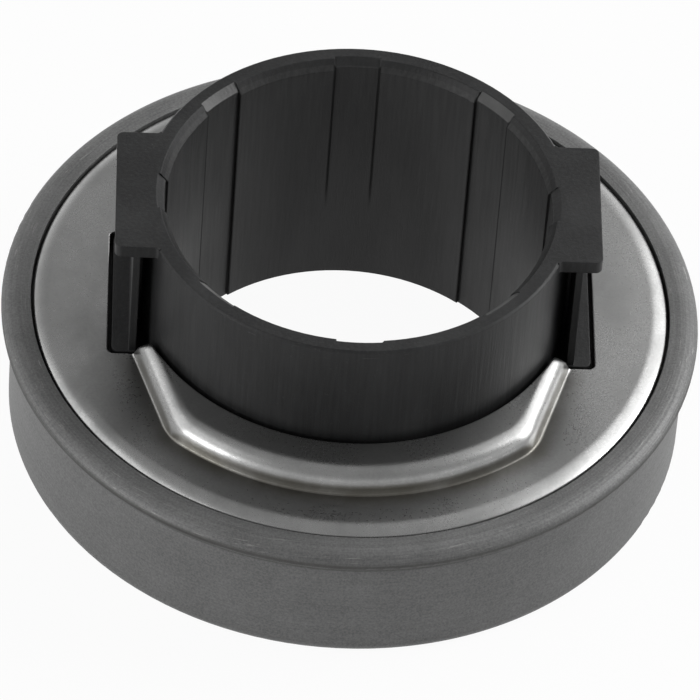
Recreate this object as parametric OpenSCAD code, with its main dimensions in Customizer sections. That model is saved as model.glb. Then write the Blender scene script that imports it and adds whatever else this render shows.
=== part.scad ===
// Self-centring clutch release bearing: a moulded guide sleeve, a pressed fork plate and a
// thrust ball bearing whose outer ring turns with the clutch.
// Millimetres. Z is the bearing axis, Z = 0 the thrust face, and the two fork lugs lie on X.

/* [Guide sleeve] */
// Diameter of the bore that slides on the gearbox guide tube
bore_d = 43; // [42:0.1:44.5]
// Wall of the tube between the bore and its outside
tube_wall = 2.7; // [2.4:0.1:3.2]
// Height of the tube's lower end over the thrust face
tube_lift = 0.1; // [0.1:0.1:1.5]
// Chamfer outside the lower end of the tube
end_chamfer = 0.8; // [0.4:0.1:1]
// Edge break at the lower end of the bore
bore_break = 0.1; // [0.05:0.05:0.8]
// Height of the lead-in cone at the top of the bore
lead_h = 1.2; // [0.8:0.1:1.6]
// Width of the lead-in cone at the top of the bore
lead_w = 0.9; // [0.6:0.1:1.2]
// Angle that each grease groove takes of the bore
groove_arc = 13.5; // [8:0.5:15]
// Depth of the grease grooves
groove_depth = 0.3; // [0.2:0.05:0.7]
// Length of the four grooves that run out in the bore
groove_short = 24; // [16:0.5:28]
// Depth of the sloping notch at the top of each groove
notch_depth = 1.2; // [0.8:0.05:1.3]
// Height of the sloping notch at the top of each groove
notch_h = 0.9; // [0.6:0.1:2.4]
// Edge break around the top of the tube
rim_break = 0.25; // [0.1:0.05:0.5]
// Width of the collar that the fork plate traps
collar_w = 5.8; // [5.4:0.1:6.2]
// Thickness of the collar
collar_t = 1.9; // [1.6:0.1:2.2]

/* [Fork lugs] */
// Half length of the lug flanges along the fork prong
lug_half = 9.1; // [8:0.1:9.2]
// How far the lug flanges stand out from the tube
flange_reach = 3; // [2.2:0.05:3.2]
// Thickness of the lug flanges
flange_t = 1.6; // [1.2:0.1:2.2]
// Corner radius of the lug flanges
flange_corner = 0.8; // [0.4:0.1:1.6]
// Fillet where a lug flange runs into the tube
flange_fillet = 0.5; // [0.3:0.1:2]
// How far the lug webs stand out from the tube
web_reach = 0.9; // [0.7:0.05:1.2]
// Thickness of the lug webs at their hollow ends
web_t = 0.8; // [0.6:0.05:1]
// Half length of the solid middle of each web
web_core = 4; // [3:0.5:6]
// How far the webs end short of the flanges
web_set = 0.1; // [0.05:0.05:0.5]
// Height of the slot between the fork plate and the lug flanges
fork_slot_h = 14.9; // [12:0.1:18]
// How far the feet that fill the plate windows stand out from the tube
foot_reach = 2.85; // [2.2:0.05:3]
// Half length of the feet
foot_half = 9.2; // [8:0.1:9.4]
// Corner radius of the feet
foot_corner = 0.8; // [0.5:0.1:1.2]
// How far the tops of the feet lie under the plate's top
foot_set = 0.1; // [0.05:0.05:0.5]

/* [Centring] */
// Gap around the tube in the plate's hole, for the self-centring travel both ways at once
float_gap = 0.65; // [0.6:0.01:0.8]
// Gap around the feet in the plate's windows, for the travel one way
window_gap = 0.45; // [0.42:0.01:0.6]
// Gap around the tube and the collar inside the inner ring
ring_gap = 0.8; // [0.7:0.01:0.9]
// Gap between flat faces that slide as the bearing centres itself
slip_gap = 0.05; // [0.03:0.01:0.1]

/* [Wave spring] */
// Height of the wave spring as fitted, over its crests
spring_h = 1; // [0.8:0.05:1.3]
// Thickness of the spring strip
spring_t = 0.45; // [0.3:0.05:0.6]
// Radial width of the spring strip
spring_w = 4.2; // [3.5:0.1:4.6]
// Gap between the spring strip and the inner ring's rim
spring_gap = 1.2; // [0.8:0.1:1.6]

/* [Fork plate] */
// Sheet thickness
plate_t = 1.8; // [1.5:0.1:2.2]
// Radius of the roll-over along the plate's edge
plate_edge = 4.4; // [2:0.1:5]
// How far the roll-over drops at the edge
edge_drop = 0.6; // [0.3:0.05:0.7]
// Height of the raised pads
pad_h = 2.7; // [2.2:0.1:3.2]
// Radius at the foot of the raised pads
pad_r = 30.3; // [29.8:0.1:30.6]
// Half angle between the pad corners, seen from the axis
pad_arc = 42.5; // [38:0.5:46]
// Lean of the pad legs from the line across the lugs
pad_lean = 18; // [15:0.5:22]
// Slope of the pad wall
pad_slope = 75; // [70:1:80]
// Radius at the top edge of the pads
pad_edge = 2.3; // [1.6:0.1:2.5]
// Corner radius of the windows
window_corner = 0.8; // [0.5:0.1:1.2]

/* [Bearing] */
// Ball diameter
ball_d = 7.144; // [6.8:0.001:7.3]
// Race groove radius as a share of the ball diameter
conformity = 0.52; // [0.515:0.001:0.53]
// Wall of the inner ring at the bottom of its groove
inner_wall = 2.4; // [2:0.1:2.8]
// Wall of the outer ring at the bottom of its groove
outer_wall = 3.6; // [3:0.1:3.8]
// Thickness of the thrust flange under the balls
thrust_t = 3.2; // [2.8:0.1:4]
// Thickness of the inner ring's shelf over the balls
shelf_t = 1.8; // [1.4:0.1:2.4]
// Wall of the inner ring's rim that carries the fork plate
rim_wall = 1.5; // [1.2:0.1:1.6]
// Height of the inner ring's lower end over the thrust face
inner_lift = 1.2; // [0.8:0.1:1.6]
// Chamfer at the lower end of the inner ring's bore
ring_chamfer = 0.5; // [0.3:0.1:0.8]
// Width of the lower seal's seat between the rings
seal_seat = 2.1; // [1.8:0.1:2.4]
// Gap between a seal lip and the face it runs by
lip_gap = 0.25; // [0.2:0.01:0.4]

/* [Seals] */
// Width of a seal's root on its seat
seal_root = 0.7; // [0.5:0.05:0.9]
// Thickness of the seal lips
lip_t = 0.5; // [0.4:0.05:0.6]
// Height of the upper seal on the rim
upper_seal_h = 1.8; // [1.6:0.1:2]
// Height of the lower seal in its seat
lower_seal_h = 1.9; // [1.7:0.1:2.2]

/* [Outer ring] */
// Wall of the mouth around the fork plate
mouth_wall = 2.1; // [1.6:0.1:2.4]
// Running gap between the fork plate and the mouth
running_gap = 0.28; // [0.2:0.01:0.5]
// How far the mouth goes under the fork plate
mouth_drop = 0.5; // [0.3:0.1:0.8]
// How far the top of the bead lies under the fork plate's top
bead_drop = 0.35; // [0.2:0.05:0.6]
// How far the bead stands out from the wall
bead_reach = 1.2; // [1:0.05:1.6]
// Radius over the top of the bead
bead_top_r = 2; // [1.8:0.05:2.4]
// Hollow where the bead meets the wall
neck_r = 0.5; // [0.3:0.05:0.8]
// Radius at the outer corner of the thrust face
thrust_corner = 1.5; // [1:0.1:2]
// Radius at the inner corner of the thrust face
thrust_inner = 0.6; // [0.4:0.1:0.8]

/* [Ball cage] */
// Gap around a ball in its pocket
pocket_gap = 0.15; // [0.1:0.01:0.2]
// Gap between the cage and the rings
cage_gap = 0.4; // [0.35:0.01:0.5]
// How far the cage reaches under the ball centres
cage_drop = 1.9; // [1.5:0.1:2.2]
// How far the cage reaches inside the pitch circle
cage_in = 1; // [0.8:0.1:1.2]

/* [Hidden] */
$fn = 144;
// Overrun of a cutting shape past the face it opens
cut = 1;
// Overlap that joins two outlines
lap = 0.1;

ball_count = 20;
ball_r = ball_d / 2;
race_r = conformity * ball_d;

bore_r = bore_d / 2;
tube_r = bore_r + tube_wall;
collar_r = tube_r + collar_w;
inner_bore_r = tube_r + ring_gap;
inner_race_r = inner_bore_r + inner_wall;
pitch_r = inner_race_r + race_r;
outer_race_r = pitch_r + race_r;
wall_r = outer_race_r + outer_wall;
rim_in_r = collar_r + ring_gap;
rim_out_r = rim_in_r + rim_wall;
mouth_r = wall_r - mouth_wall;
plate_r = mouth_r - running_gap;
seal_seat_r = inner_race_r + seal_seat;

ball_z = thrust_t + race_r;
shelf_z = ball_z + race_r + shelf_t;
collar_z = shelf_z + spring_h + 2 * slip_gap;
collar_top = collar_z + collar_t;
plate_z = collar_top + slip_gap;
plate_top = plate_z + plate_t;
flange_z = plate_top + fork_slot_h;
top_z = flange_z + flange_t;
bead_z = plate_top - bead_drop - bead_top_r;
mouth_z = plate_z - mouth_drop;
upper_seal_z = ball_z + race_r + shelf_t / 2;

flange_x = tube_r + flange_reach;
web_x = tube_r + web_reach;
foot_x = tube_r + foot_reach;
window_x = foot_x + window_gap;
window_y = foot_half + window_gap;

function ball_name(i) = str("ball_", i < 10 ? "0" : "", i);
function ball_angle(i) = (i - 0.5) * 360 / ball_count;

// Outlines shared by several pieces

module box_2d(x0, x1, y0, y1) {
    translate([x0, y0]) square([x1 - x0, y1 - y0]);
}

module round_rect(x, y, r) {
    box_2d(-x, x, r - y, y - r);
    box_2d(r - x, x - r, -y, y);
    for (sx = [-1, 1], sy = [-1, 1])
        translate([sx * (x - r), sy * (y - r)]) circle(r);
}

// Guide sleeve, moulded in one with its collar, lugs and feet

module flange_fillet_2d() {
    cy = lug_half + flange_fillet;
    cx = sqrt(pow(tube_r + flange_fillet, 2) - cy * cy);
    touch = tube_r / (tube_r + flange_fillet);
    difference() {
        polygon([[cx, lug_half - cut], [touch * cx - cut, lug_half - cut],
                 [touch * cx, touch * cy], [cx, cy]]);
        translate([cx, cy]) circle(flange_fillet);
    }
}

module lug_flanges() {
    translate([0, 0, flange_z]) linear_extrude(flange_t) {
        round_rect(flange_x, lug_half, flange_corner);
        for (a = [0, 1], b = [0, 1])
            mirror([a, 0]) mirror([0, b]) flange_fillet_2d();
    }
}

module lug_webs() {
    web_half = lug_half - web_set;
    translate([0, 0, collar_z]) linear_extrude(flange_z - collar_z + flange_t / 2)
        for (a = [0, 1]) mirror([a, 0]) {
            box_2d(web_x - web_t, web_x, -web_half, web_half);
            box_2d(bore_r, web_x, -web_core, web_core);
        }
}

module sleeve_blank() {
    rotate_extrude() difference() {
        union() {
            box_2d(0, tube_r, tube_lift, top_z);
            box_2d(0, collar_r, collar_z, collar_top);
        }
        polygon([[tube_r - end_chamfer, tube_lift], [tube_r, tube_lift + end_chamfer],
                 [tube_r + cut, tube_lift + end_chamfer], [tube_r + cut, tube_lift - cut],
                 [tube_r - end_chamfer, tube_lift - cut]]);
        polygon([[tube_r - rim_break, top_z], [tube_r, top_z - rim_break],
                 [tube_r + cut, top_z - rim_break], [tube_r + cut, top_z + cut],
                 [tube_r - rim_break, top_z + cut]]);
    }
}

module bore_cut() {
    rotate_extrude() polygon([
        [0, tube_lift - cut],
        [bore_r + bore_break, tube_lift - cut],
        [bore_r + bore_break, tube_lift],
        [bore_r, tube_lift + bore_break],
        [bore_r, top_z - lead_h],
        [bore_r + lead_w, top_z],
        [bore_r + lead_w, top_z + cut],
        [0, top_z + cut]
    ]);
}

// Every other groove keeps its depth to the lower end, and the rest run out in the bore
module groove_cut(i) {
    in_r = bore_r - groove_depth;
    out_r = bore_r + groove_depth;
    notch_r = bore_r + notch_depth;
    notch_z = top_z - notch_h;
    foot = i % 2 == 1
        ? [[in_r, tube_lift - cut], [out_r, tube_lift - cut]]
        : [[in_r, notch_z - 2 * (groove_short - notch_h)]];
    rotate(i * 45 - groove_arc / 2) rotate_extrude(angle = groove_arc)
        polygon(concat(foot, [[out_r, notch_z], [notch_r, top_z],
                              [notch_r, top_z + cut], [in_r, top_z + cut]]));
}

module guide_sleeve() color([0.12, 0.12, 0.13]) difference() {
    union() {
        sleeve_blank();
        lug_flanges();
        lug_webs();
        translate([0, 0, collar_z]) linear_extrude(plate_top - foot_set - collar_z)
            round_rect(foot_x, foot_half, foot_corner);
    }
    bore_cut();
    for (i = [0:7]) groove_cut(i);
}

// Wave spring, a closed ring of strip with three waves, between collar and shelf

module wave_spring() color([0.55, 0.56, 0.58]) {
    steps = 96;
    waves = 3;
    r_out = rim_in_r - spring_gap;
    swing = (spring_h - spring_t) / 2;
    mid = shelf_z + slip_gap + spring_h / 2;
    points = [for (i = [0:steps - 1], k = [0:3])
        let (a = i * 360 / steps,
             r = k == 0 || k == 3 ? r_out - spring_w : r_out,
             z = mid + swing * cos(waves * a) + (k < 2 ? -spring_t : spring_t) / 2)
        [r * cos(a), r * sin(a), z]];
    faces = [for (i = [0:steps - 1], k = [0:3], half = [0, 1])
        let (j = (i + 1) % steps,
             a = 4 * i + k,
             b = 4 * i + (k + 1) % 4,
             c = 4 * j + (k + 1) % 4,
             d = 4 * j + k)
        half == 0 ? [a, c, b] : [a, d, c]];
    polyhedron(points = points, faces = faces, convexity = 4);
}

// Fork plate, one pressing with two raised pads and the windows for the lugs

module pad_profile(reach) {
    run = (pad_edge + (pad_h - pad_edge) * cos(pad_slope)) / sin(pad_slope);
    polygon([
        [0, -plate_t],
        [0, 0],
        [run - pad_edge * sin(pad_slope), pad_h - pad_edge + pad_edge * cos(pad_slope)],
        [run, pad_h],
        [reach, pad_h],
        [reach, -plate_t]
    ]);
    intersection() {
        translate([run, pad_h - pad_edge]) circle(pad_edge);
        box_2d(0, reach, 0, pad_h);
    }
}

module pad_hollow_profile(reach) {
    low = -plate_t - cut;
    high = pad_h - plate_t;
    foot = plate_t * sin(pad_slope) + plate_t * cos(pad_slope) / tan(pad_slope);
    polygon([
        [foot + low / tan(pad_slope), low],
        [foot + high / tan(pad_slope), high],
        [reach, high],
        [reach, low]
    ]);
}

// Intersects the revolved wall with the walls along both legs, so the corners come out mitred
module pad_form(hollow) {
    intersection() {
        translate([0, 0, plate_top]) rotate_extrude() translate([pad_r, 0]) mirror([1, 0])
            if (hollow) pad_hollow_profile(pad_r - bore_r); else pad_profile(pad_r - bore_r);
        pad_leg(hollow);
        mirror([1, 0, 0]) pad_leg(hollow);
        translate([-wall_r, -wall_r, 0]) cube([2 * wall_r, wall_r - window_y, top_z]);
    }
}

module pad_leg(hollow) {
    reach = 2 * wall_r;
    translate([pad_r * sin(pad_arc), -pad_r * cos(pad_arc), plate_top])
        rotate(180 - pad_lean) rotate([90, 0, 0]) linear_extrude(2 * wall_r, center = true)
            if (hollow) pad_hollow_profile(reach); else pad_profile(reach);
}

// The edge rolls over as a blanked edge does, and ends in a straight cut
module plate_disc() {
    roll = sqrt(pow(plate_edge, 2) - pow(plate_edge - edge_drop, 2));
    rotate_extrude() {
        box_2d(0, plate_r - roll, plate_z, plate_top);
        intersection() {
            translate([plate_r - roll, plate_top - plate_edge]) circle(plate_edge);
            box_2d(plate_r - roll - lap, plate_r, plate_z, plate_top);
        }
    }
}

module fork_plate() color([0.72, 0.72, 0.70]) difference() {
    union() {
        plate_disc();
        for (b = [0, 1]) mirror([0, b, 0]) pad_form(false);
    }
    for (b = [0, 1]) mirror([0, b, 0]) pad_form(true);
    translate([0, 0, plate_z - cut]) linear_extrude(plate_t + pad_h + 2 * cut) {
        circle(tube_r + float_gap);
        round_rect(window_x, window_y, window_corner);
    }
}

// Inner ring, fixed to the plate by its rim, with the race on its upper inner side

module inner_ring() color([0.60, 0.61, 0.62]) rotate_extrude() difference() {
    union() {
        box_2d(inner_bore_r, rim_out_r, inner_lift, shelf_z);
        box_2d(rim_in_r, rim_out_r, shelf_z, plate_z);
    }
    translate([pitch_r, ball_z]) circle(race_r);
    box_2d(inner_race_r, rim_out_r + cut, inner_lift - cut, ball_z);
    box_2d(pitch_r, rim_out_r + cut, inner_lift - cut, ball_z + race_r);
    polygon([[inner_bore_r, inner_lift + ring_chamfer], [inner_bore_r + ring_chamfer, inner_lift],
             [inner_bore_r + ring_chamfer, inner_lift - cut],
             [inner_bore_r - cut, inner_lift - cut],
             [inner_bore_r - cut, inner_lift + ring_chamfer]]);
}

// Upper seal, rubber, pressed on the rim of the inner ring

module upper_seal() color([0.16, 0.15, 0.14]) {
    low = upper_seal_z;
    mid = low + upper_seal_h / 2;
    high = low + upper_seal_h;
    lip = outer_race_r - lip_gap;
    rotate_extrude() polygon([
        [rim_out_r, low],
        [rim_out_r + seal_root, low],
        [rim_out_r + seal_root, high - 2 * lip_t],
        [lip, mid - lip_t],
        [lip, mid],
        [rim_out_r + seal_root + 0.6 * lip_t, high],
        [rim_out_r, high]
    ]);
}

// Outer ring, turned, with the thrust face below, the race inside and the bead around its mouth

module outer_ring_blank_2d() {
    bead_low_r = bead_reach;
    bead_mid_r = wall_r + bead_reach - bead_top_r;
    box_2d(seal_seat_r, wall_r, thrust_corner, bead_z);
    box_2d(seal_seat_r, bead_mid_r, thrust_corner, bead_z + bead_top_r);
    box_2d(seal_seat_r + thrust_inner, wall_r - thrust_corner, 0, thrust_corner + lap);
    translate([wall_r - thrust_corner, thrust_corner]) circle(thrust_corner);
    box_2d(seal_seat_r, seal_seat_r + thrust_inner + lap, thrust_inner, thrust_corner + lap);
    translate([seal_seat_r + thrust_inner, thrust_inner]) circle(thrust_inner);
    intersection() {
        translate([bead_mid_r, bead_z]) circle(bead_top_r);
        box_2d(mouth_r, wall_r + bead_reach, bead_z, bead_z + bead_top_r);
    }
    translate([wall_r, bead_z]) circle(bead_low_r);
    difference() {
        box_2d(wall_r - lap, wall_r + neck_r, bead_z - bead_low_r - neck_r, bead_z);
        translate([wall_r + neck_r, bead_z - bead_low_r - neck_r]) circle(neck_r);
    }
}

module outer_ring() color([0.42, 0.43, 0.44]) rotate_extrude() difference() {
    outer_ring_blank_2d();
    translate([pitch_r, ball_z]) circle(race_r);
    box_2d(seal_seat_r - cut, pitch_r, thrust_t, top_z);
    box_2d(seal_seat_r - cut, outer_race_r, ball_z, top_z);
    box_2d(seal_seat_r - cut, mouth_r, mouth_z, top_z);
}

// Lower seal, rubber, pressed in the seat of the outer ring

module lower_seal() color([0.16, 0.15, 0.14]) {
    lip = inner_race_r + lip_gap;
    high = thrust_t - 0.6 * lip_t;
    low = high - lower_seal_h;
    rotate_extrude() polygon([
        [seal_seat_r, high],
        [seal_seat_r - seal_root, high],
        [seal_seat_r - seal_root, high - 1.6 * lip_t],
        [lip, high - lip_t],
        [lip, high - 2 * lip_t],
        [seal_seat_r - seal_root - 0.4 * lip_t, low],
        [seal_seat_r, low]
    ]);
}

// Ball cage, moulded crown with one pocket for each ball

module ball_cage() color([0.75, 0.70, 0.58]) difference() {
    top = upper_seal_z - cage_gap;
    outside = outer_race_r - cage_gap;
    inside = rim_out_r + cage_gap;
    rotate_extrude() polygon([
        [pitch_r - cage_in, ball_z - cage_drop],
        [pitch_r + cage_drop, ball_z - cage_drop],
        [outside, ball_z + cage_gap],
        [outside, top],
        [inside, top],
        [inside, ball_z + 0.7 * race_r],
        [pitch_r - cage_in, ball_z + 2 * cage_in]
    ]);
    for (i = [1:ball_count])
        rotate(ball_angle(i)) translate([pitch_r, 0, ball_z]) sphere(ball_r + pocket_gap);
}

module ball(i) color([0.80, 0.81, 0.82])
    rotate(ball_angle(i)) translate([pitch_r, 0, ball_z]) sphere(ball_r);

guide_sleeve();
wave_spring();
fork_plate();
inner_ring();
upper_seal();
outer_ring();
lower_seal();
ball_cage();
for (i = [1:ball_count])
    ball(i);
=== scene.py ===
import math

import bpy
import numpy as np
from mathutils import Matrix, Vector


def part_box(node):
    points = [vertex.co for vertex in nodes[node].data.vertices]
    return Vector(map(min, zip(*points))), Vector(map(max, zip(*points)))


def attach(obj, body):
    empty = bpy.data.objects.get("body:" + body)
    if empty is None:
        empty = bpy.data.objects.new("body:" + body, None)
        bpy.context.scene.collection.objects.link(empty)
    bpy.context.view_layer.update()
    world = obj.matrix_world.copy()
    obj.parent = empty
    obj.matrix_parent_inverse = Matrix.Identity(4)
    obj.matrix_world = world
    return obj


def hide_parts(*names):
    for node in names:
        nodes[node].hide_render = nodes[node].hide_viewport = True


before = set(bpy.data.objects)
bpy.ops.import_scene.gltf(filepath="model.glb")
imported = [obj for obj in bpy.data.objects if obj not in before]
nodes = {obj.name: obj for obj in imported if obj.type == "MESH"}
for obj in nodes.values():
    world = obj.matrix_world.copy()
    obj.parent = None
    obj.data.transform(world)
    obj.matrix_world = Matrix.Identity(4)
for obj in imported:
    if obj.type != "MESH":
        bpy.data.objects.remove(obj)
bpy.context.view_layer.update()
MM = 0.001


# Tools that the sections share: a new object in the scene, a shader socket that takes
# arithmetic, and a finish whose patterns are measured in millimetres.
def added(name, data):
    """A new object that holds that data, linked to the scene."""
    piece = bpy.data.objects.new(name, data)
    bpy.context.scene.collection.objects.link(piece)
    return piece


class Wire:
    """A socket in a shader tree. Arithmetic on it adds Math nodes, and node() adds any other."""

    def __init__(self, tree, socket=None):
        self.tree = tree
        self.socket = socket

    def node(self, kind, settings=None, inputs=None, out=0):
        """Adds a node of that kind, sets its settings, then its sockets, and gives one output."""
        made = self.tree.nodes.new("ShaderNode" + kind)
        for name, value in (settings or {}).items():
            setattr(made, name, value)
        for name, value in (inputs or {}).items():
            if isinstance(value, Wire):
                self.tree.links.new(value.socket, made.inputs[name])
            else:
                made.inputs[name].default_value = value
        return Wire(self.tree, made.outputs[out])

    def math(self, operation, *terms):
        return self.node("Math", {"operation": operation}, dict(enumerate(terms)))

    def __add__(self, other):
        return self.math("ADD", self, other)

    def __sub__(self, other):
        return self.math("SUBTRACT", self, other)

    def __rsub__(self, other):
        return self.math("SUBTRACT", other, self)

    def __mul__(self, other):
        return self.math("MULTIPLY", self, other)

    def __truediv__(self, other):
        return self.math("DIVIDE", self, other)

    def __pow__(self, other):
        return self.math("POWER", self, other)

    __radd__ = __add__
    __rmul__ = __mul__

    def step(self, low, high):
        """0 below low and 1 above high, with an eased ramp between."""
        limits = {"From Min": low, "From Max": high, "Value": self}
        return self.node("MapRange", {"interpolation_type": "SMOOTHSTEP"}, limits)

    def blend(self, first, second):
        """The first colour where this is 0, the second where it is 1."""
        colours = {"Factor": self, 6: first, 7: second}
        return self.node("Mix", {"data_type": "RGBA"}, colours, out=2)


class Finish:
    """A material on Object coordinates in millimetres, with the measures its patterns use."""

    def __init__(self, name, **constants):
        self.material = bpy.data.materials.new(name)
        self.material.use_nodes = True
        tree = self.material.node_tree
        self.surface = tree.nodes["Principled BSDF"]
        for socket, value in constants.items():
            self.surface.inputs[socket.replace("_", " ")].default_value = value
        self.root = Wire(tree)
        place = self.root.node("TexCoord", out="Object")
        scale = {0: place, "Scale": 1 / MM}
        self.place = self.root.node("VectorMath", {"operation": "SCALE"}, scale)
        axes = [self.root.node("SeparateXYZ", inputs={0: self.place}, out=i) for i in range(3)]
        self.x, self.y, self.z = axes
        self.radius = (self.x * self.x + self.y * self.y) ** 0.5

    def stretched(self, sx, sy, sz):
        """The place with each axis scaled, in cycles per millimetre."""
        factors = {0: self.place, 1: (sx, sy, sz)}
        return self.root.node("VectorMath", {"operation": "MULTIPLY"}, factors)

    def turned(self, across, around):
        """Coordinates that run fine across the lathe's path and long around the axis."""
        parts = {
            "X": self.radius * across + self.x / self.radius * around,
            "Y": self.y / self.radius * around,
            "Z": self.z * across,
        }
        return self.root.node("CombineXYZ", inputs=parts)

    def noise(self, vector, scale=1.0, detail=2.0, rough=0.5):
        values = {"Vector": vector, "Scale": scale, "Detail": detail, "Roughness": rough}
        return self.root.node("TexNoise", inputs=values)

    def wear(self, **wires):
        """Links varying values to the shader's sockets."""
        for socket, wire in wires.items():
            target = self.surface.inputs[socket.replace("_", " ")]
            self.root.tree.links.new(wire.socket, target)

    def relief(self, height, depth_mm, edge_mm=0.0):
        """Bump of that depth, on normals rounded at edges by edge_mm where that is given."""
        values = {"Height": height, "Distance": depth_mm * MM, "Strength": 1.0}
        if edge_mm:
            rounding = {"Radius": edge_mm * MM}
            values["Normal"] = self.root.node("Bevel", {"samples": 6}, rounding)
        self.wear(Normal=self.root.node("Bump", inputs=values))

    def on(self, *pieces):
        for piece in pieces:
            piece.data.materials.clear()
            piece.data.materials.append(self.material)


# Guide sleeve: one moulding in black glass-filled nylon, a tube with a collar, two fork lugs
# and grease grooves in its bore. The collar is trapped under the fork plate, so the sleeve can
# shift sideways a little while the bearing centres itself.
NYLON_DARK = (0.015, 0.0152, 0.0156, 1)
NYLON_PALE = (0.042, 0.0425, 0.043, 1)
NYLON_SCUFF = (0.11, 0.11, 0.108, 1)
# painted sheen for the bore
NYLON_BORE_SHEEN = (0.088, 0.088, 0.087, 1)
# painted highlight for the notches under the rim
NYLON_NOTCH_HIGHLIGHT = (0.20, 0.20, 0.198, 1)
# painted shade for the corners of the bore grooves
NYLON_CORNER_SHADE = (0.004, 0.004, 0.004, 1)
GROOVE_HALF, GROOVE_PITCH, GROOVE_BLUR = math.radians(6.75), math.radians(45), 0.006
BORE_R, NOTCH_R, NOTCH_Z = 21.5, 22.7, 32.88
RUN_OUT_Z, RUN_OUT = 10, 5
RIM_Z, RIM_IN, RIM_OUT = (31.2, 33.4), (23.6, 24.1), (24.3, 24.6)
nylon = Finish("black_glass_filled_nylon", Specular_IOR_Level=0.3)
flow = nylon.noise(nylon.stretched(0.12, 0.12, 0.05), detail=4, rough=0.6).step(0.35, 0.7)
drag = nylon.noise(nylon.stretched(2.2, 2.2, 0.12), detail=3).step(0.3, 0.75)
grain = nylon.noise(nylon.place, scale=5.5, detail=3, rough=0.7)
specks = nylon.noise(nylon.place, scale=2.6, detail=1).step(0.68, 0.76)
scratch = nylon.noise(nylon.stretched(0.35, 0.35, 4.5), detail=4, rough=0.7).step(0.63, 0.69)
edge_band = nylon.z.step(*RIM_Z) * nylon.radius.step(*RIM_IN)
edge_band = edge_band * (1 - nylon.radius.step(*RIM_OUT))
heading = nylon.y.math("ARCTAN2", nylon.y, nylon.x)
off_groove = heading.math("PINGPONG", heading, GROOVE_PITCH / 2)
short_groove = 1 - heading.math("PINGPONG", heading, GROOVE_PITCH).step(0.3, 0.4)
side_gap = heading.math("ABSOLUTE", off_groove - GROOVE_HALF) * BORE_R
in_bore = 1 - nylon.radius.step(BORE_R + 0.4, BORE_R + 0.5)
# painted shade: thin dark lines along the bore grooves' edges, where their corners are shadowed
groove_corner_shade = (1 - side_gap.step(0.06, 0.24)) * in_bore
run_out = 1 - nylon.z.step(RUN_OUT_Z, RUN_OUT_Z + RUN_OUT)
groove_corner_shade = groove_corner_shade * (1 - short_groove * run_out)
# painted highlight: a pale, smoother patch in the groove notches just under the rim
notch_highlight = (1 - off_groove.step(GROOVE_HALF - GROOVE_BLUR, GROOVE_HALF)) * (1 - short_groove)
notch_highlight = notch_highlight * nylon.z.step(NOTCH_Z, NOTCH_Z + 0.1)
notch_highlight = notch_highlight * (1 - nylon.radius.step(NOTCH_R - 0.02, NOTCH_R))
pale = flow * 0.45 + drag * 0.3 + specks * 0.35
moulded = pale.blend(NYLON_DARK, NYLON_PALE)
# painted sheen: the whole bore lightened towards grey, streaked along the drag pattern
moulded = (in_bore * (0.12 + drag * 0.2)).blend(moulded, NYLON_BORE_SHEEN)
moulded = (scratch * (0.03 + edge_band * 0.5)).blend(moulded, NYLON_SCUFF)
moulded = (notch_highlight * (0.4 + flow * 0.4)).blend(moulded, NYLON_NOTCH_HIGHLIGHT)
nylon.wear(
    Base_Color=(groove_corner_shade * 0.9).blend(moulded, NYLON_CORNER_SHADE),
    Roughness=0.38 + flow * 0.08 + grain * 0.12 - notch_highlight * 0.1 + groove_corner_shade * 0.3,
)
nylon.relief(grain * 0.8 + drag * 0.5, 0.025, edge_mm=0.18)
nylon.on(nodes["guide_sleeve"])


# Wave spring: a closed ring of bright spring strip with three waves, lying on the inner
# ring's shelf. It presses the collar against the plate, and its friction holds the centring.
strip = Finish("bright_spring_strip", Metallic=1.0)
rolling = strip.noise(strip.stretched(9, 0.5, 3), detail=3)
strip.wear(
    Base_Color=rolling.blend((0.36, 0.37, 0.39, 1), (0.50, 0.51, 0.53, 1)),
    Roughness=0.24 + rolling * 0.16,
)
strip.relief(rolling, 0.004)
strip.on(nodes["wave_spring"])


# Inner ring: turned bearing steel, hardened and ground in the race. Its rim carries the plate,
# and it stands still while the outer ring turns.
ground = Finish("ground_bearing_steel", Metallic=1.0)
lathe = ground.noise(ground.turned(9, 1.2), detail=3)
ground.wear(
    Base_Color=lathe.blend((0.40, 0.41, 0.43, 1), (0.52, 0.53, 0.55, 1)),
    Roughness=0.22 + lathe * 0.2,
)
ground.relief(lathe, 0.004)
ground.on(nodes["inner_ring"])


# Balls and cage: polished chrome-steel balls in a snap-in crown moulded from natural nylon.
# The cage keeps them evenly apart and turns at about half the outer ring's speed.
polish = Finish("polished_ball_steel", Metallic=1.0)
lapping = polish.noise(polish.place, scale=1.8, detail=4)
polish.wear(
    Base_Color=lapping.blend((0.66, 0.67, 0.69, 1), (0.78, 0.79, 0.80, 1)),
    Roughness=0.06 + lapping * 0.08,
)
ball_names = [name for name in nodes if name.startswith("ball_") and name != "ball_cage"]
polish.on(*[nodes[name] for name in ball_names])

crown = Finish("natural_cage_nylon", Subsurface_Weight=0.1)
cloud = crown.noise(crown.place, scale=0.5, detail=4)
crown.wear(
    Base_Color=cloud.blend((0.50, 0.43, 0.30, 1), (0.62, 0.56, 0.43, 1)),
    Roughness=0.38 + cloud * 0.15,
)
crown.relief(crown.noise(crown.place, scale=6, detail=2), 0.01, edge_mm=0.15)
crown.on(nodes["ball_cage"])


# Outer ring: turned steel with a matte grey phosphate coat, a slim bead round its mouth and
# the thrust face below, on which the clutch spring's fingers run. It turns with the clutch, and
# painted shade darkens the neck under its bead.
COAT_DARK = (0.095, 0.096, 0.096, 1)
COAT_PALE = (0.235, 0.236, 0.234, 1)
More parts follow.
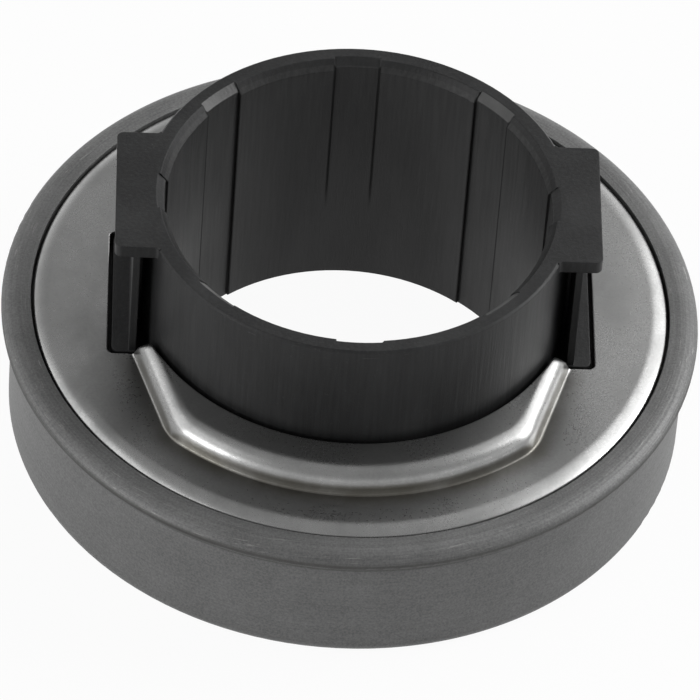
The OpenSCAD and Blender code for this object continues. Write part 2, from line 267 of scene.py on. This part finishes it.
# painted shade for the neck under the bead
COAT_NECK_SHADE = (0.045, 0.044, 0.041, 1)
SCUFF = (0.46, 0.455, 0.44, 1)
BEAD_FACE_R, BEAD_LOW, BEAD_Z = 37.2, 14.0, 15.5
SOLID_Z, SHOWN_Z = (0, 11, 13.23, 14.93, 16.93), (0, 11, 14.2, 15.5, 16.93)
NECK_Z, NECK_R, NECK_FADE = (13.4, 14.0), (37.0, 37.6), 0.7


def slim_bead(node):
    """A copy of the turned ring with a slimmer bead: heights on the outer face go through
    straight pieces that lift the bead's underside and keep its top and the wall."""
    mesh = node.data.copy()
    points = np.array([vertex.co for vertex in mesh.vertices])
    outside = np.hypot(points[:, 0], points[:, 1]) > BEAD_FACE_R * MM
    points[outside, 2] = np.interp(points[outside, 2] / MM, SOLID_Z, SHOWN_Z) * MM
    mesh.vertices.foreach_set("co", points.ravel())
    return added("outer_ring_turned", mesh)


ring = slim_bead(nodes["outer_ring"])
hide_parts("outer_ring")
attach(ring, "rotor")

coat = Finish("grey_phosphated_steel", Metallic=0.3, Specular_IOR_Level=0.4)
turning = coat.noise(coat.turned(5, 1.4), detail=5, rough=0.7).step(0.25, 0.75)
mottle = coat.noise(coat.place, scale=0.16, detail=5, rough=0.6).step(0.3, 0.72)
crystals = coat.noise(coat.place, scale=3.6, detail=3, rough=0.75).step(0.3, 0.7)
bead_zone = coat.z.step(BEAD_LOW, BEAD_Z)
# painted shade: a dark band over the bead's underside and the top of the wall beneath it
neck_shade = coat.z.step(*NECK_Z) * (1 - coat.z.step(BEAD_Z, BEAD_Z + NECK_FADE))
neck_shade = neck_shade * coat.radius.step(*NECK_R)
strokes = coat.noise(coat.turned(2.4, 8), detail=5, rough=0.75).step(0.60, 0.68)
coat_shade = mottle * 0.25 + turning * (0.12 + bead_zone * 0.33) + crystals * 0.5
coat_colour = coat_shade.blend(COAT_DARK, COAT_PALE)
coat_colour = (strokes * (0.06 + bead_zone * 0.5)).blend(coat_colour, SCUFF)
coat.wear(
    Base_Color=(neck_shade * (0.7 + mottle * 0.2)).blend(coat_colour, COAT_NECK_SHADE),
    Roughness=0.52 + mottle * 0.08 - turning * 0.1 - strokes * bead_zone * 0.1,
)
coat.relief(turning * (0.2 + bead_zone * 0.5) + crystals * 0.6, 0.012, edge_mm=0.12)
coat.on(ring)


# Seals: moulded rubber rings. The upper one sits on the inner ring's rim, the lower one in the
# thrust flange, and their lips close the gaps beside the balls.
rubber = Finish("black_seal_rubber", Specular_IOR_Level=0.35)
bloom = rubber.noise(rubber.place, scale=0.4, detail=5).step(0.35, 0.75)
rubber.wear(
    Base_Color=bloom.blend((0.018, 0.018, 0.018, 1), (0.035, 0.034, 0.033, 1)),
    Roughness=0.55 + bloom * 0.2,
)
rubber.relief(rubber.noise(rubber.place, scale=5, detail=2), 0.015, edge_mm=0.1)
rubber.on(nodes["upper_seal"], nodes["lower_seal"])


# Fork plate: one steel sheet, pressed so that two crescent pads stand up in front of and behind
# the sleeve, pierced with the sleeve's hole and a window for each lug, and rolled over at its
# edge. It is fixed on the inner ring's rim, and the release fork presses on it.
plate_low, plate_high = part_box("fork_plate")
PLATE_R = plate_high.x / MM
PLATE_Z = plate_low.z / MM
PLATE_T = 1.8
PLATE_TOP = PLATE_Z + PLATE_T
PAD_H = plate_high.z / MM - PLATE_TOP
ROLL_R, ROLL_TILT, EDGE_ROUND = 3.2, math.radians(32), 0.45
HOLE_R = 24.85
WINDOW_X, WINDOW_Y, WINDOW_CORNER, WINDOW_LAND = 27.5, 9.65, 0.8, 1
BREAK = 0.12
PAD_R, PAD_ARC, PAD_LEAN = 30.3, math.radians(42.5), math.radians(18)
PAD_SLOPE, PAD_EDGE, PAD_INSET = math.radians(75), 2.3, PLATE_T * 0.97
CORNER_X, CORNER_Y = PAD_R * math.sin(PAD_ARC), PAD_R * math.cos(PAD_ARC)
MITRE, PAD_END, FOOT_SHARP, FOOT_REACH = 0.9, 1.3, 36, 0.4
COLUMN_SPANS = (0, 16, 0.5), (16, 25, 0.15), (25, 90.01, 0.6)
TOP_ROWS, UNDER_ROWS, ROLL_ROWS, CORNER_ROWS, BREAK_ROWS = 74, 24, 9, 7, 4
WAVE_3, WAVE_5 = 0.02, 0.015


def opening_radius(angle):
    """Distance from the axis to the edge of the opening: the sleeve's hole joined with a rounded
    rectangle whose two ends are the lug windows, met by the ray at that angle."""
    c, s = np.abs(np.cos(angle)), np.abs(np.sin(angle))
    end = WINDOW_X / np.maximum(c, 1e-9)
    side = WINDOW_Y / np.maximum(s, 1e-9)
    cx, cy = WINDOW_X - WINDOW_CORNER, WINDOW_Y - WINDOW_CORNER
    off = cx * s - cy * c
    arc = cx * c + cy * s + np.sqrt(np.maximum(WINDOW_CORNER**2 - off**2, 0))
    ray = np.where(end * s <= cy, end, np.where(side * c <= cx, side, arc))
    return np.maximum(ray, HOLE_R)


def pad_height(x, y, inset):
    """Rise of the sheet over its flat: how far a point lies inside the pad's outline, an arc and
    two leaning legs joined by a soft minimum, put through a steep wall and a round shoulder. The
    legs' ends are rounded down towards the windows."""
    x, y = np.abs(x), np.abs(y)
    leg = (CORNER_X - x) * np.cos(PAD_LEAN) + (CORNER_Y - y) * np.sin(PAD_LEAN)
    arc = PAD_R - np.hypot(x, y)
    h = np.clip(0.5 + 0.5 * (leg - arc) / MITRE, 0, 1)
    inside = leg + (arc - leg) * h - MITRE * h * (1 - h) - inset
    soft = np.logaddexp(0, inside * FOOT_SHARP) / FOOT_SHARP
    on_pad = (inside > -FOOT_REACH) & (x < WINDOW_X - WINDOW_LAND)
    inside = np.where(on_pad, soft, 0)
    sin, cos = np.sin(PAD_SLOPE), np.cos(PAD_SLOPE)
    run = (PAD_EDGE + (PAD_H - PAD_EDGE) * cos) / sin
    foot = run - PAD_EDGE * sin
    round_part = np.sqrt(np.maximum(PAD_EDGE**2 - (np.minimum(inside, run) - run) ** 2, 0))
    rise = np.where(inside < foot, inside * np.tan(PAD_SLOPE), PAD_H - PAD_EDGE + round_part)
    past_end = np.clip(PAD_END + WINDOW_Y - y, 0, PAD_END)
    return rise * (1 - (PAD_END - np.sqrt(PAD_END**2 - past_end**2)) / PAD_H)


def pressed_sheet():
    """A closed ring of sheet: at each angle a profile runs from the opening over the top, down
    the roll-over and the cut edge, back along the underside and up the pierced edge. Heights add
    the pads and a slow waviness of a few hundredths, as a pressing has."""
    quarter = np.radians(np.concatenate([np.arange(*span) for span in COLUMN_SPANS]))
    half = np.concatenate([quarter, np.pi - quarter[-2::-1]])
    angle = np.concatenate([half, np.pi + half[1:-1]])
    level = np.ones_like(angle)
    start = opening_radius(angle)
    tilt = np.linspace(0, ROLL_TILT, ROLL_ROWS)[1:]
    corner = np.linspace(ROLL_TILT, np.pi / 2, CORNER_ROWS)[1:]
    share = np.linspace(0, 1, TOP_ROWS)
    back_share = np.linspace(1, 0, UNDER_ROWS)[1:]
    arc = np.linspace(0, np.pi / 2, BREAK_ROWS)

    roll_r = PLATE_R - EDGE_ROUND * (1 - math.sin(ROLL_TILT))
    flat_r = roll_r - ROLL_R * math.sin(ROLL_TILT)
    top = start + BREAK + np.outer(share, flat_r - start - BREAK)
    edge = [flat_r + ROLL_R * np.sin(tilt), PLATE_R - EDGE_ROUND * (1 - np.sin(corner))]
    edge = np.concatenate([*edge, PLATE_R - BREAK * (1 - np.sin(arc[::-1]))])
    rolled = np.outer(edge, level)
    under = start + BREAK + np.outer(back_share, PLATE_R - start - 2 * BREAK)
    pierced = start + np.outer(BREAK * (1 - np.sin(np.concatenate([arc[1:], arc[:0:-1]]))), level)

    def rise(radius, inset=0.0):
        return pad_height(radius * np.cos(angle), radius * np.sin(angle), inset)

    wave = WAVE_3 * np.sin(3 * angle + 0.8) + WAVE_5 * np.cos(5 * angle - 0.4)
    top_z = PLATE_TOP + rise(top) + np.outer(np.sin(np.pi * share), wave)
    roll_z = PLATE_TOP - ROLL_R * (1 - math.cos(ROLL_TILT))
    edge_z = [PLATE_TOP - ROLL_R * (1 - np.cos(tilt))]
    edge_z.append(roll_z - EDGE_ROUND * (math.cos(ROLL_TILT) - np.cos(corner)))
    edge_z.append(PLATE_Z + BREAK * (1 - np.cos(arc[::-1])))
    rolled_z = np.outer(np.concatenate(edge_z), level)
    under_z = PLATE_Z + rise(under, PAD_INSET)
    low_part = under_z[-1] + np.outer(BREAK * (1 - np.cos(arc[1:])), level)
    high_part = top_z[0] - np.outer(BREAK * (1 - np.cos(arc[:0:-1])), level)
    radius = np.concatenate([top, rolled, under, pierced])
    height = np.concatenate([top_z, rolled_z, under_z, low_part, high_part])
    return np.stack([radius * np.cos(angle), radius * np.sin(angle), height], -1)


def closed_mesh(name, points):
    """A mesh on a grid of points that closes on itself both ways, with faces turned outwards."""
    rows, columns = points.shape[:2]
    index = np.arange(rows * columns).reshape(rows, columns)
    right, down = np.roll(index, -1, 1), np.roll(index, -1, 0)
    faces = np.stack([index, down, np.roll(down, -1, 1), right], -1)
    mesh = bpy.data.meshes.new(name)
    mesh.from_pydata((points.reshape(-1, 3) * MM).tolist(), [], faces.reshape(-1, 4).tolist())
    mesh.polygons.foreach_set("use_smooth", np.ones(len(mesh.polygons), bool))
    return added(name, mesh)


sheet = closed_mesh("fork_plate_pressing", pressed_sheet())
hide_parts("fork_plate")
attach(sheet, "carrier")

STEEL_CLEAN = (0.49, 0.49, 0.487, 1)
STEEL_DULL = (0.30, 0.302, 0.299, 1)
# oil stain colour, also laid on as painted shade
STEEL_OIL_AND_SHADE = (0.13, 0.124, 0.108, 1)
FOOT_IN, FOOT_OUT, FRONT_Y = (-0.45, -0.2), (0.1, 2.8), (-15, -27)
bright = Finish("satin_pressed_steel", Metallic=0.97)
smear = bright.noise(bright.stretched(0.16, 0.11, 0.16), detail=5, rough=0.62).step(0.32, 0.7)
rolled_grain = bright.noise(bright.stretched(0.5, 6, 2), detail=4, rough=0.6)
satin = bright.noise(bright.place, scale=3.4, detail=3, rough=0.75).step(0.25, 0.75)
leg_x = bright.x.math("ABSOLUTE", bright.x) - CORNER_X
leg_y = bright.y.math("ABSOLUTE", bright.y)
past_leg = leg_x * math.cos(PAD_LEAN) + (leg_y - CORNER_Y) * math.sin(PAD_LEAN)
past_pad = past_leg.math("MAXIMUM", past_leg, bright.radius - PAD_R)
pad_foot = past_pad.step(*FOOT_IN) * (1 - past_pad.step(*FOOT_OUT))
pad_foot = pad_foot * leg_y.step(WINDOW_Y - 1, WINDOW_Y + 2)
front = bright.y.step(*FRONT_Y)
# oil stain and painted shade: darker olive steel at the pads' feet, more towards the front
oil_and_shade = pad_foot * (0.5 + front * 0.25 + smear * 0.25)
clean = (smear * 0.55 + satin * 0.25 + 0.1).blend(STEEL_CLEAN, STEEL_DULL)
bright.wear(
    Base_Color=oil_and_shade.blend(clean, STEEL_OIL_AND_SHADE),
    Roughness=0.20 + smear * 0.06 + rolled_grain * 0.06 + satin * 0.1 + oil_and_shade * 0.05,
)
bright.relief(rolled_grain * 0.5 + satin * 0.35, 0.006)
bright.on(sheet)


# Studio: a white paper floor that keeps the part's shadow, a large soft box with a brighter core
# on each side, and a white room with a dimmer ceiling.
LAMP_DISTANCE, LAMP_AIM = 0.60, Vector((0, 0, 0.012))


def soft_box(name, towards, size, radiance):
    """An area lamp that faces the part from that direction, with the radiance of its panel."""
    panel = bpy.data.lights.new(name, "AREA")
    panel.shape = "RECTANGLE"
    panel.size, panel.size_y = size
    panel.energy = radiance * math.pi * size[0] * size[1]
    axis = Vector(towards).normalized()
    facing = axis.to_track_quat("Z", "Y").to_matrix().to_4x4()
    stand = Matrix.Translation(axis * LAMP_DISTANCE + LAMP_AIM)
    added(name, panel).matrix_world = stand @ facing


soft_box("right_box", (0.70, 0.36, 0.62), (0.70, 0.52), 1.9)
soft_box("right_core", (0.86, 0.15, 0.44), (0.26, 0.26), 6.0)
soft_box("left_box", (-0.80, -0.06, 0.56), (0.66, 0.50), 1.05)
soft_box("left_core", (-0.80, -0.55, 0.22), (0.18, 0.18), 7.5)

FLOOR_HALF, FLOOR_DROP = 2.0, 0.02 * MM
floor_mesh = bpy.data.meshes.new("floor")
corners = np.array([(-1, -1, 0), (1, -1, 0), (1, 1, 0), (-1, 1, 0)]) * FLOOR_HALF
corners[:, 2] = -FLOOR_DROP
floor_mesh.from_pydata(corners.tolist(), [], [(0, 1, 2, 3)])
floor = added("floor", floor_mesh)


def mirrored(wire):
    """1 for a reflection or a refraction, and 0 for other rays."""
    glossy = wire.node("LightPath", out="Is Glossy Ray")
    return wire.math("MAXIMUM", glossy, wire.node("LightPath", out="Is Transmission Ray"))


def seen(wire):
    """1 for a ray from the camera, and 0 for other rays."""
    return wire.node("LightPath", out="Is Camera Ray")


PAPER_GLOW = 0.95
paper = Finish("white_paper", Roughness=0.9)
fibre = paper.noise(paper.place, scale=0.05, detail=2)
paper.wear(Base_Color=fibre.blend((0.86, 0.86, 0.86, 1), (0.88, 0.88, 0.88, 1)))
glow = paper.root.node("Emission", inputs={"Color": (1, 1, 1, 1), "Strength": 1.0})
lit = Wire(paper.root.tree, paper.surface.outputs[0])
bare = paper.root.math("MAXIMUM", seen(paper.root), mirrored(paper.root)) * PAPER_GLOW
page = paper.root.node("MixShader", inputs={0: bare, 1: lit, 2: glow})
paper.root.tree.links.new(page.socket, paper.root.tree.nodes["Material Output"].inputs[0])
paper.on(floor)

ROOM_LIGHT, CEILING, HORIZON, FRONT = 0.16, 0.38, 0.3, 0.08
CEILING_RISE, HORIZON_RISE = (0.20, 0.60), (0.02, 0.30)
BACK_REACH, FRONT_REACH = (0.45, 0.75), (-0.10, -0.60)
room = bpy.data.worlds.new("white_room")
room.use_nodes = True
bpy.context.scene.world = room
air = Wire(room.node_tree)
away = air.node("TexCoord", out="Generated")
ahead, height = (air.node("SeparateXYZ", inputs={0: away}, out=i) for i in (1, 2))
walls = 1 - height.step(*CEILING_RISE) * (1 - CEILING)
low_wall = (1 - height.step(*HORIZON_RISE)) * (1 - ahead.step(*BACK_REACH))
walls = walls * (1 - low_wall * (1 - HORIZON))
front_wall = ahead.step(*FRONT_REACH)
soft_light = ROOM_LIGHT * (1 - front_wall * (1 - FRONT))
light = soft_light + mirrored(air) * (walls - soft_light)
background = room.node_tree.nodes["Background"]
background.inputs["Color"].default_value = (1, 1, 1, 1)
strength = light + seen(air) * (1 - light)
room.node_tree.links.new(strength.socket, background.inputs["Strength"])


# Camera: a long lens from the front and above, nearly parallel, rolled a little
IMAGE_PX, FOCAL_PX, SENSOR = 700, 8000, 36
DISTANCE, ELEVATION, AZIMUTH, ROLL = 911.6, 45.91, -3.55, 4.52
SHIFT_RIGHT, SHIFT_UP, AIM_Z = 0.34, -1.99, 12
CLIP_NEAR, CLIP_FAR = 0.05, 10
e, a, roll = (math.radians(v) for v in (ELEVATION, AZIMUTH, ROLL))
back = Vector((math.sin(a) * math.cos(e), -math.cos(a) * math.cos(e), math.sin(e)))
right = Vector((math.cos(a), math.sin(a), 0))
up = Vector((-math.sin(a) * math.sin(e), math.cos(a) * math.sin(e), math.cos(e)))
aim_point = Vector((0, 0, AIM_Z)) + SHIFT_RIGHT * right + SHIFT_UP * up
camera_axes = [
    math.cos(roll) * right + math.sin(roll) * up,
    math.cos(roll) * up - math.sin(roll) * right,
    back,
]
turn = Matrix(camera_axes).transposed().to_4x4()
lens = bpy.data.cameras.new("camera")
lens.sensor_width = SENSOR
lens.lens = FOCAL_PX / IMAGE_PX * SENSOR
lens.clip_start, lens.clip_end = CLIP_NEAR, CLIP_FAR
camera = added("camera", lens)
camera.matrix_world = Matrix.Translation((aim_point + DISTANCE * back) * MM) @ turn
bpy.context.scene.camera = camera
bpy.context.scene.view_settings.view_transform = "Standard"
